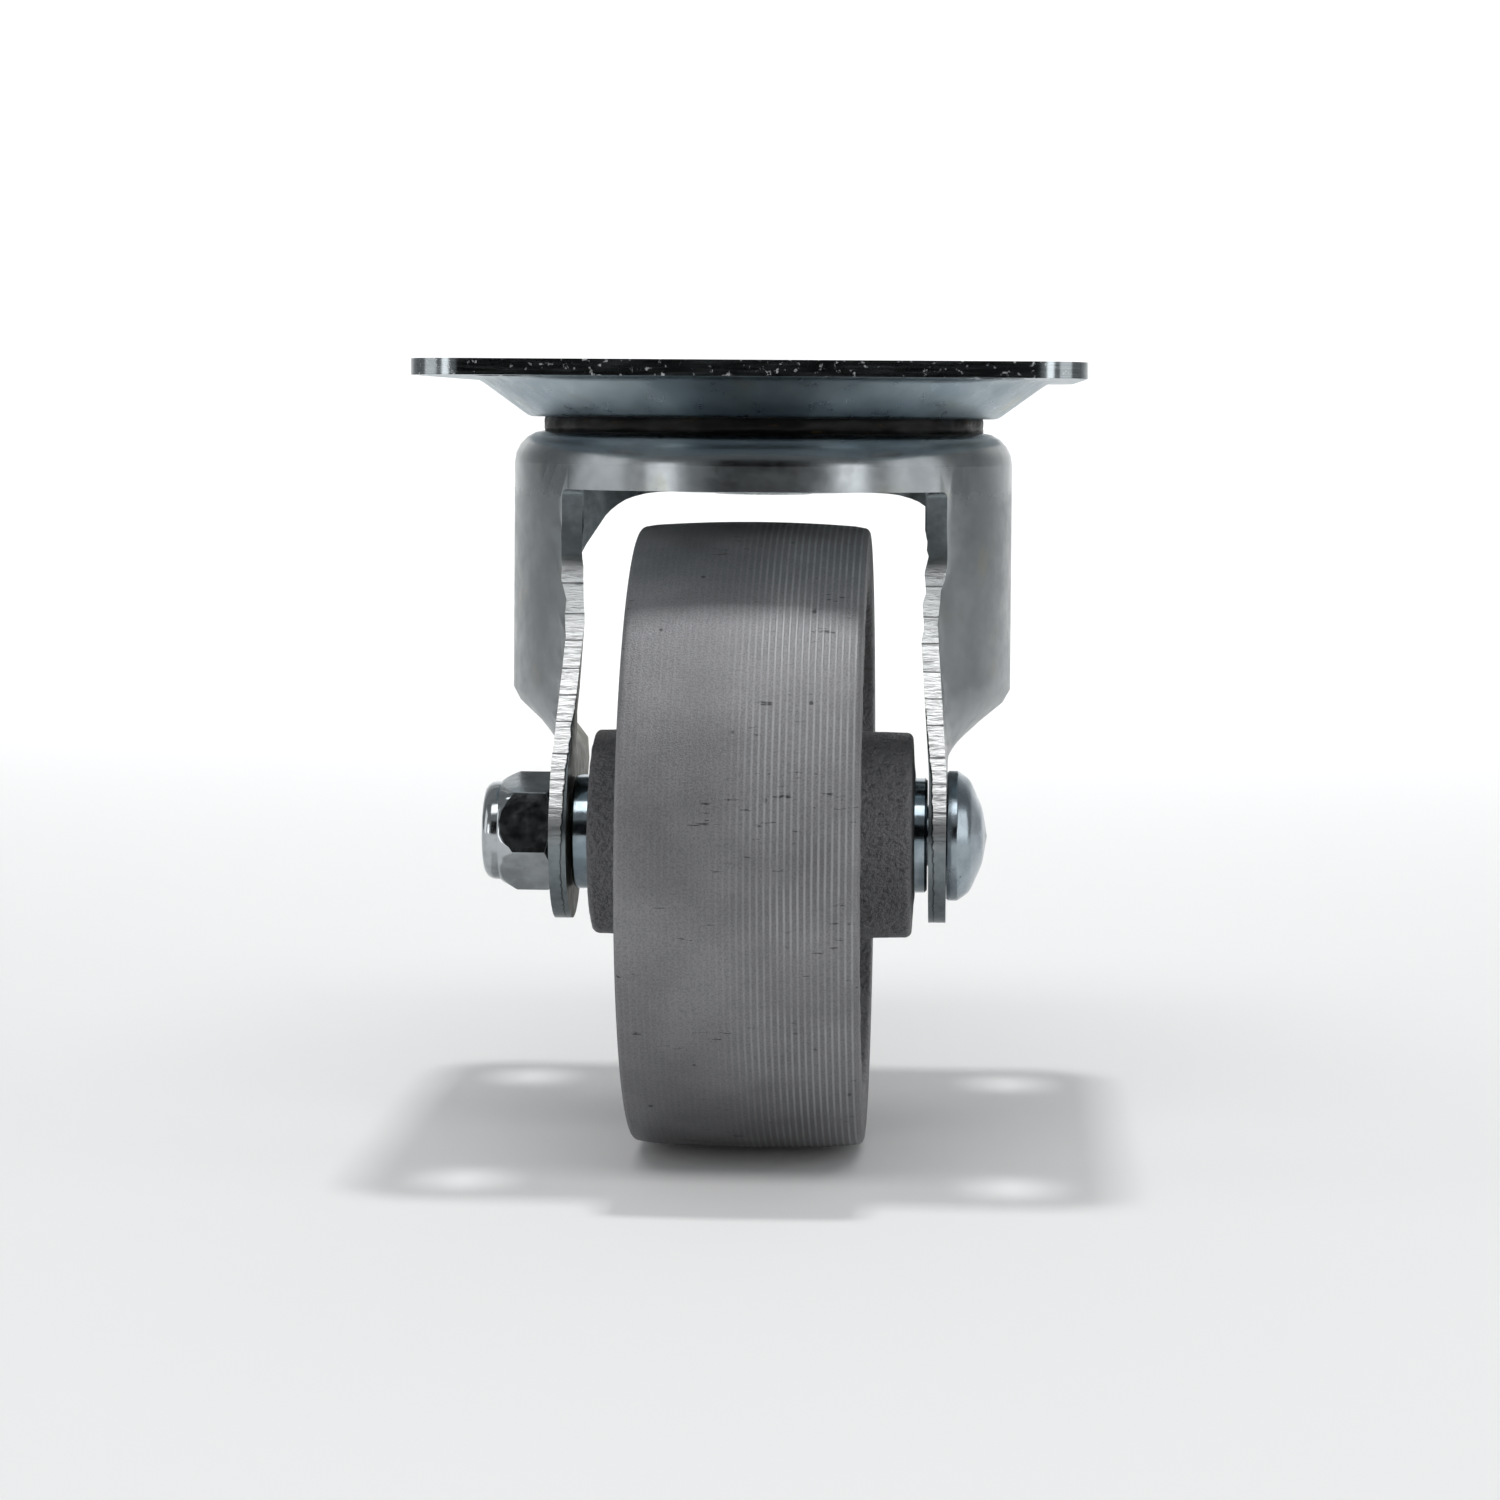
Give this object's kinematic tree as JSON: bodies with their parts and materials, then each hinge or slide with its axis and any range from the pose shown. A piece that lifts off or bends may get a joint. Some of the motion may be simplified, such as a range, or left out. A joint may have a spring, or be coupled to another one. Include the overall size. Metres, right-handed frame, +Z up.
{
  "type": "swivel plate caster",
  "caption": "Swivel plate caster for a gate: pressed zinc-plated top plate and fork on ball races, with a one-piece cast-iron wheel on a bolted axle.",
  "frame": {"origin": "on the swivel axis in the plane of the plate's top face", "axes": "+Z up out of the plate, X along the axle with the bolt head on +X, wheel trailing towards -Y"},
  "size_m": [0.1074, 0.1384, 0.128],
  "materials": {
    "zinc_pressing": "bluish clear zinc plate on pressed sheet, satin",
    "zinc_hardware": "bright zinc plate on turned steel",
    "bearing_steel": "polished bearing balls in dark grease",
    "nylon": "natural nylon",
    "cast_wheel": "silver-grey painted sand casting with a turned tread"
  },
  "bodies": {
    "plate": {"mounting_plate": "zinc_pressing", "kingpin": "zinc_hardware", "lower_race_cup": "zinc_pressing"},
    "balls": {"upper_ball_01": "bearing_steel", "upper_ball_02": "bearing_steel", "upper_ball_03": "bearing_steel", "upper_ball_04": "bearing_steel", "upper_ball_05": "bearing_steel", "upper_ball_06": "bearing_steel", "upper_ball_07": "bearing_steel", "upper_ball_08": "bearing_steel", "upper_ball_09": "bearing_steel", "upper_ball_10": "bearing_steel", "upper_ball_11": "bearing_steel", "upper_ball_12": "bearing_steel", "upper_ball_13": "bearing_steel", "upper_ball_14": "bearing_steel", "upper_ball_15": "bearing_steel", "upper_ball_16": "bearing_steel", "upper_ball_17": "bearing_steel", "upper_ball_18": "bearing_steel", "upper_ball_19": "bearing_steel", "upper_ball_20": "bearing_steel", "upper_ball_21": "bearing_steel", "upper_ball_22": "bearing_steel", "upper_ball_23": "bearing_steel", "upper_ball_24": "bearing_steel", "upper_ball_25": "bearing_steel", "lower_ball_01": "bearing_steel", "lower_ball_02": "bearing_steel", "lower_ball_03": "bearing_steel", "lower_ball_04": "bearing_steel", "lower_ball_05": "bearing_steel", "lower_ball_06": "bearing_steel", "lower_ball_07": "bearing_steel", "lower_ball_08": "bearing_steel", "lower_ball_09": "bearing_steel", "lower_ball_10": "bearing_steel", "lower_ball_11": "bearing_steel", "lower_ball_12": "bearing_steel", "lower_ball_13": "bearing_steel", "lower_ball_14": "bearing_steel", "lower_ball_15": "bearing_steel", "lower_ball_16": "bearing_steel"},
    "fork": {"fork": "zinc_pressing", "axle_bolt": "zinc_hardware", "axle_sleeve": "zinc_hardware", "lock_nut": "zinc_hardware", "nut_insert": "nylon"},
    "wheel": {"wheel": "cast_wheel"}
  },
  "joints": [
    {"name": "swivel", "type": "hinge", "parent": "plate", "child": "fork", "pos_m": [0, 0, 0], "axis": [0, 0, 1], "continuous": true},
    {"name": "ball_orbit", "type": "hinge", "parent": "plate", "child": "balls", "pos_m": [0, 0, -0.01025], "axis": [0, 0, 1], "continuous": true},
    {"name": "wheel_spin", "type": "hinge", "parent": "fork", "child": "wheel", "pos_m": [0.0004, -0.03, -0.077], "axis": [1, 0, 0], "continuous": true}
  ],
  "couplings": [
    {"joint": "ball_orbit", "follows": "swivel", "ratio": 0.5}
  ]
}
